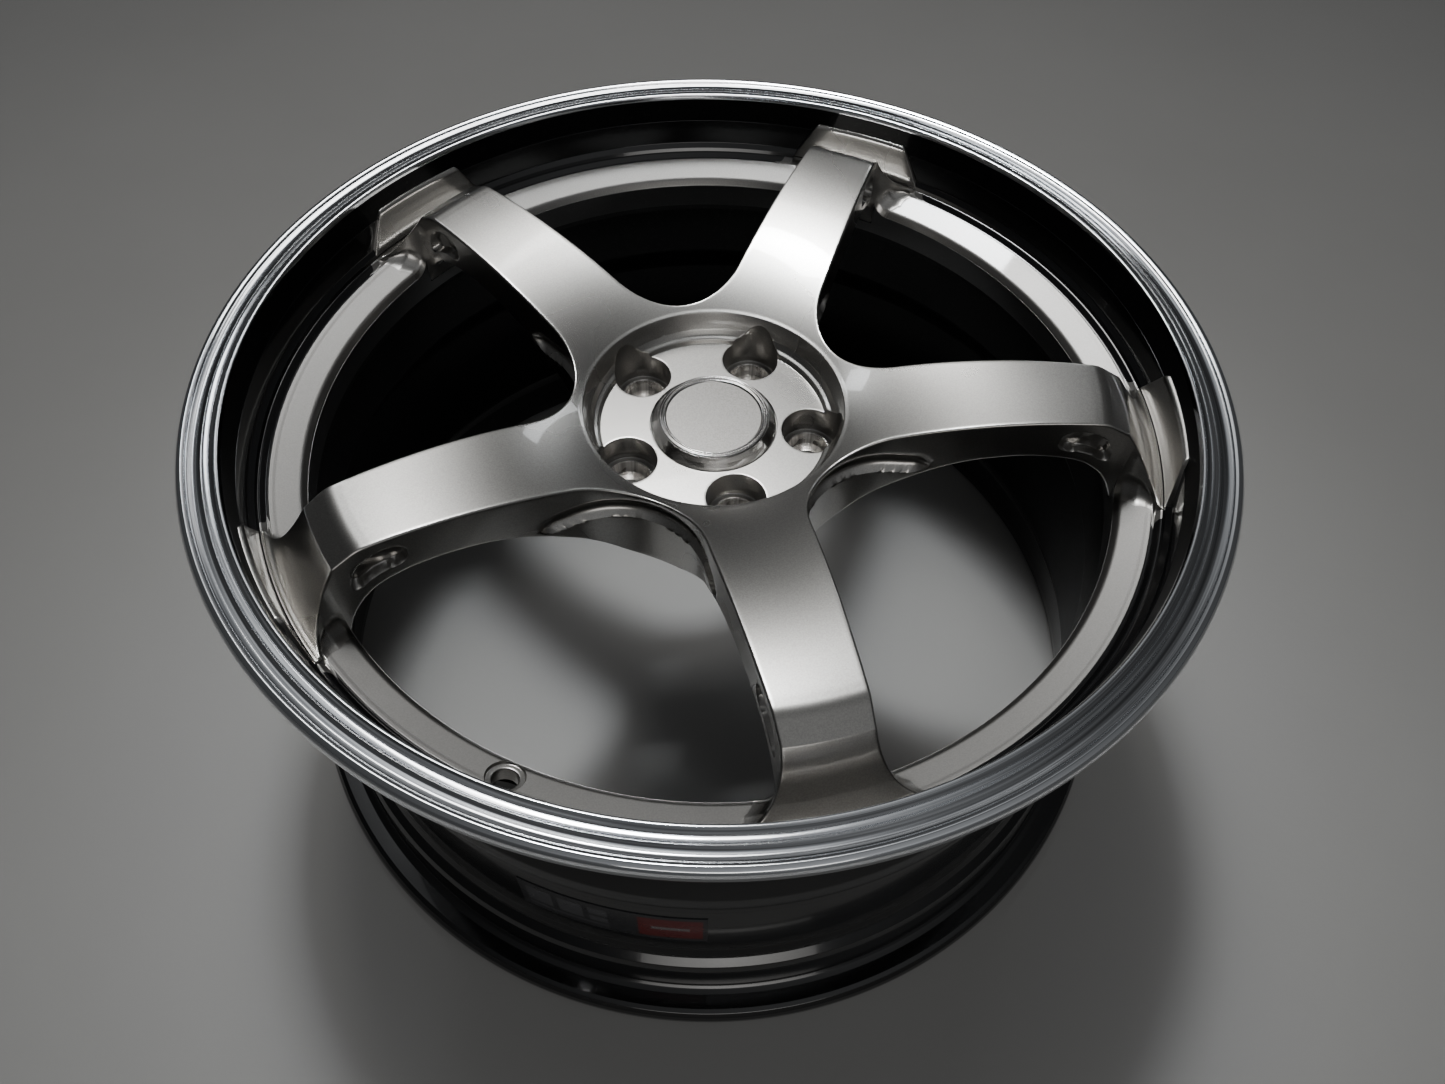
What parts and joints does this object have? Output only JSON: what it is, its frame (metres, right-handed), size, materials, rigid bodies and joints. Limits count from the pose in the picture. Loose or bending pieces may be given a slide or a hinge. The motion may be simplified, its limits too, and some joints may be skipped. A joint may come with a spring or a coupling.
{
  "type": "forged racing wheel rim",
  "caption": "Deep-dish forged alloy rim with broad curved spokes, polished stepped lip, gloss black barrel and a pull-off centre cap.",
  "frame": {"origin": "centre of the hub mounting face, on the wheel axis", "axes": "+Z along the wheel axis out of the styled face; -Y along spoke 1; the wheel lies on its rear flange, face up"},
  "size_m": [0.4966, 0.4966, 0.2419],
  "materials": {
    "satin_face": "dark hyper-silver metallic paint under a satin clear coat",
    "polished_lip": "lathe-turned and polished bare metal",
    "gloss_black": "gloss black paint on aluminium",
    "bare_seat": "bare machined metal",
    "cap_paint": "fine metallic paint on moulded plastic",
    "bright_ring": "bright stepped ring",
    "spring_wire": "spring wire",
    "label_foil": "plain printed foil"
  },
  "bodies": {
    "rim": {"hub_boss": "satin_face", "spoke_1": "satin_face", "spoke_2": "satin_face", "spoke_3": "satin_face", "spoke_4": "satin_face", "spoke_5": "satin_face", "window_ring": "satin_face", "outer_bead_seat": "gloss_black", "outer_lip": "polished_lip", "drop_well": "gloss_black", "barrel_wall": "gloss_black", "inner_flange": "gloss_black", "lug_seat_1": "bare_seat", "lug_seat_2": "bare_seat", "lug_seat_3": "bare_seat", "lug_seat_4": "bare_seat", "lug_seat_5": "bare_seat", "barrel_label": "label_foil"},
    "cap": {"cap_shell": "cap_paint", "cap_bezel": "bright_ring", "cap_face": "cap_paint", "cap_spring": "spring_wire"}
  },
  "joints": [
    {"name": "cap_pull", "type": "slide", "parent": "rim", "child": "cap", "axis": [0, 0, 1], "range_m": [0, 0.06]}
  ]
}
